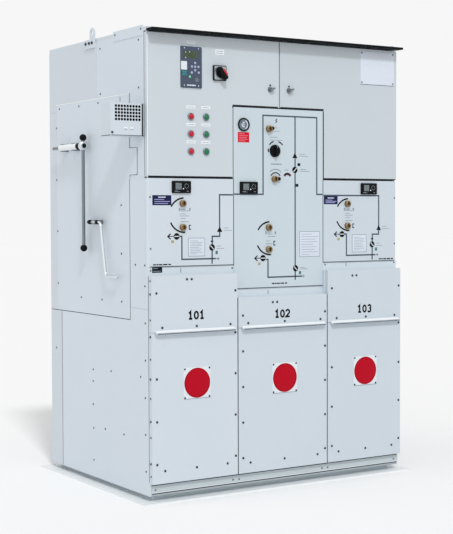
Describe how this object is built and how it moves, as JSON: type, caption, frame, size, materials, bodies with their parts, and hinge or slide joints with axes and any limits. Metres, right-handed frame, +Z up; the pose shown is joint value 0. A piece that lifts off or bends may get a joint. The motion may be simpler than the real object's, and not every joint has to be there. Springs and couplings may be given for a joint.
{
  "type": "gas insulated switchgear cubicle",
  "caption": "Free-standing sheet-metal gas insulated switchgear cubicle with a breaker bay between switch bays and a two-door low-voltage compartment on top.",
  "frame": {"origin": "centre of the floor flange, at its underside", "axes": "front faces -Y, +X to the right when facing the front, +Z up"},
  "size_m": [1.464, 0.9873, 1.9419],
  "materials": {
    "body_paint": "pale blue-grey powder coat, fine grain",
    "base_paint": "grey powder coat",
    "galvanised": "galvanised sheet",
    "relay_plastic": "dark blue-grey moulded",
    "selector_plate": "satin anodised",
    "black_plastic": "black moulded",
    "red_lens": "clear moulded",
    "green_lens": "clear moulded",
    "gauge_metal": "polished",
    "brass": "turned",
    "lock_metal": "blackened zinc casting",
    "lever_paint": "white gloss paint",
    "lever_steel": "drawn bar",
    "chrome_rod": "plated"
  },
  "bodies": {
    "cubicle": {"base_frame": "base_paint", "kick_plate": "body_paint", "front_housing": "body_paint", "breaker_housing": "body_paint", "rear_housing": "body_paint", "left_lower_sheet": "body_paint", "right_lower_sheet": "body_paint", "left_rear_strip": "body_paint", "right_rear_strip": "body_paint", "left_side_plate": "body_paint", "right_side_plate": "body_paint", "left_flank": "body_paint", "right_flank": "body_paint", "left_tank_sheet": "body_paint", "right_tank_sheet": "body_paint", "rear_lower_panel": "body_paint", "rear_middle_panel": "body_paint", "rear_upper_panel": "body_paint", "left_switch_panel": "body_paint", "breaker_panel": "body_paint", "right_switch_panel": "body_paint", "left_upper_cover": "body_paint", "breaker_upper_cover": "body_paint", "right_upper_cover": "body_paint", "left_lower_cover": "body_paint", "breaker_lower_cover": "body_paint", "right_lower_cover": "body_paint", "roof": "body_paint", "roof_side_strips": "body_paint", "lifting_lugs": "body_paint", "lv_left_wall": "body_paint", "lv_right_wall": "body_paint", "lv_mounting_plate": "galvanised", "voltage_indicators": "black_plastic", "gas_gauge": "gauge_metal", "drive_sockets": "brass", "vent_box": "body_paint", "lever_socket": "lever_paint", "lever_bar": "lever_steel", "tool_clips": "black_plastic", "crank_handle": "chrome_rod"},
    "left_door": {"left_lv_door": "body_paint", "protection_relay": "relay_plastic", "selector_base": "selector_plate", "red_lamps": "red_lens", "green_lamps": "green_lens"},
    "right_door": {"right_lv_door": "body_paint"},
    "left_lock": {"left_door_lock": "lock_metal"},
    "right_lock": {"right_door_lock": "lock_metal"},
    "selector": {"selector_knob": "black_plastic"},
    "breaker_dial": {"breaker_knob": "black_plastic"}
  },
  "joints": [
    {"name": "left_door_hinge", "type": "hinge", "parent": "cubicle", "child": "left_door", "pos_m": [-0.629, -0.438, 1.297], "axis": [0, 0, -1], "range_deg": [0, 110]},
    {"name": "right_door_hinge", "type": "hinge", "parent": "cubicle", "child": "right_door", "pos_m": [0.629, -0.438, 1.297], "axis": [0, 0, 1], "range_deg": [0, 110]},
    {"name": "left_lock_turn", "type": "hinge", "parent": "left_door", "child": "left_lock", "pos_m": [-0.046, -0.446, 1.672], "axis": [0, -1, 0], "range_deg": [0, 90]},
    {"name": "right_lock_turn", "type": "hinge", "parent": "right_door", "child": "right_lock", "pos_m": [0.05, -0.446, 1.672], "axis": [0, 1, 0], "range_deg": [0, 90]},
    {"name": "selector_turn", "type": "hinge", "parent": "left_door", "child": "selector", "pos_m": [-0.297, -0.455, 1.727], "axis": [0, 1, 0], "range_deg": [-45, 45]},
    {"name": "breaker_knob_turn", "type": "hinge", "parent": "cubicle", "child": "breaker_dial", "pos_m": [-0.023, -0.446, 1.417], "axis": [0, 1, 0], "range_deg": [0, 90]}
  ]
}
